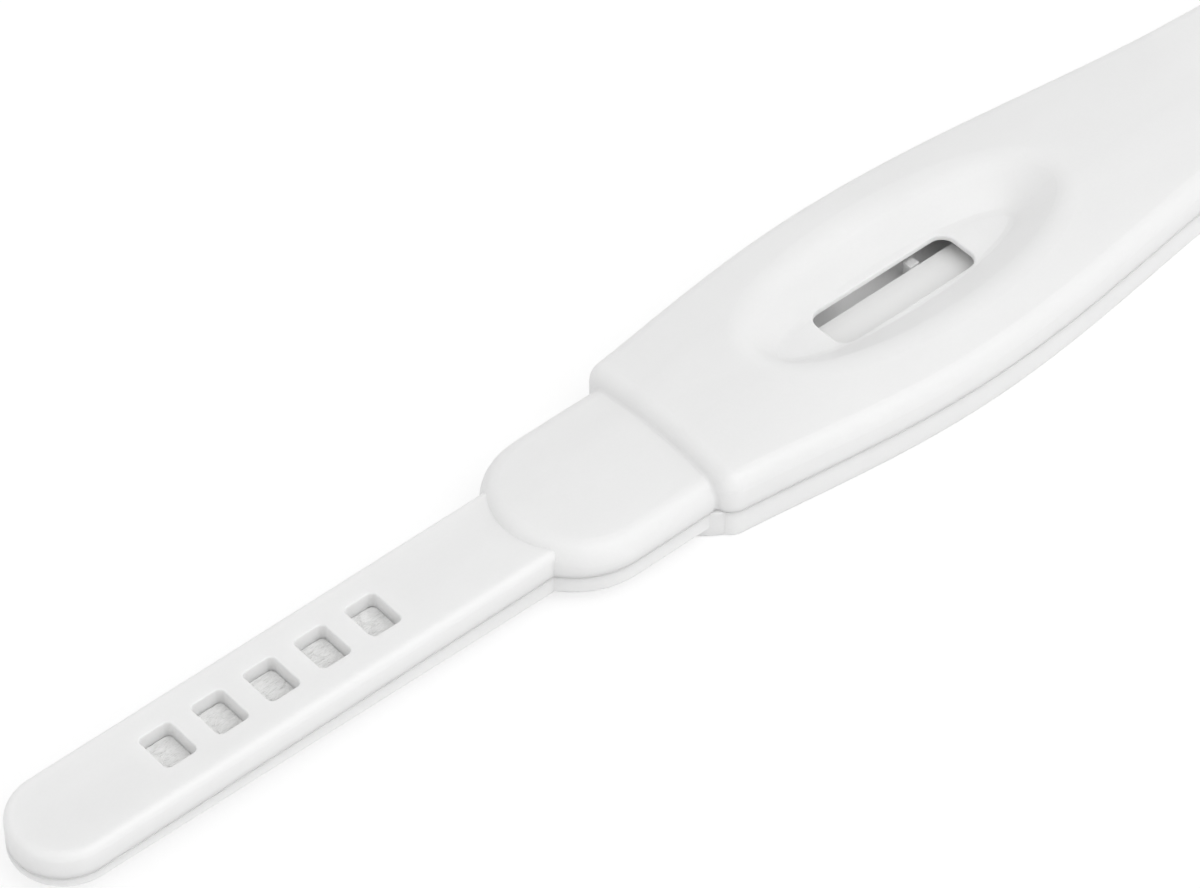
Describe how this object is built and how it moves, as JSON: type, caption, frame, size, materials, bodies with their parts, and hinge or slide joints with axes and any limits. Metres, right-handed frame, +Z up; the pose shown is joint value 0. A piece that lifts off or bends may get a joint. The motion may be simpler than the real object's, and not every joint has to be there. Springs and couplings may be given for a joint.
{
  "type": "lateral flow test stick",
  "caption": "Slim two-shell test stick with a windowed sampling tongue, a stepped cap seat and a dished oval recess round its result slot.",
  "frame": {"origin": "on the surface that the body rests on, under the middle of the stick's length and width", "axes": "+X along the stick from the tongue's tip to the handle, +Z up out of the result slot, +Y across the stick"},
  "size_m": [0.145, 0.023, 0.0076],
  "materials": {
    "housing_plastic": "white moulded plastic, satin",
    "wick_felt": "off white bonded fibre felt",
    "conjugate_fibre": "pale pink glass fibre",
    "membrane_sheet": "white porous membrane, smooth and dull",
    "absorbent_paper": "white blotting fibre",
    "card_plastic": "white plastic card"
  },
  "bodies": {
    "root": {"upper_housing": "housing_plastic", "lower_housing": "housing_plastic", "sampling_wick": "wick_felt", "conjugate_pad": "conjugate_fibre", "test_membrane": "membrane_sheet", "absorbent_pad": "absorbent_paper", "backing_card": "card_plastic"}
  },
  "joints": []
}
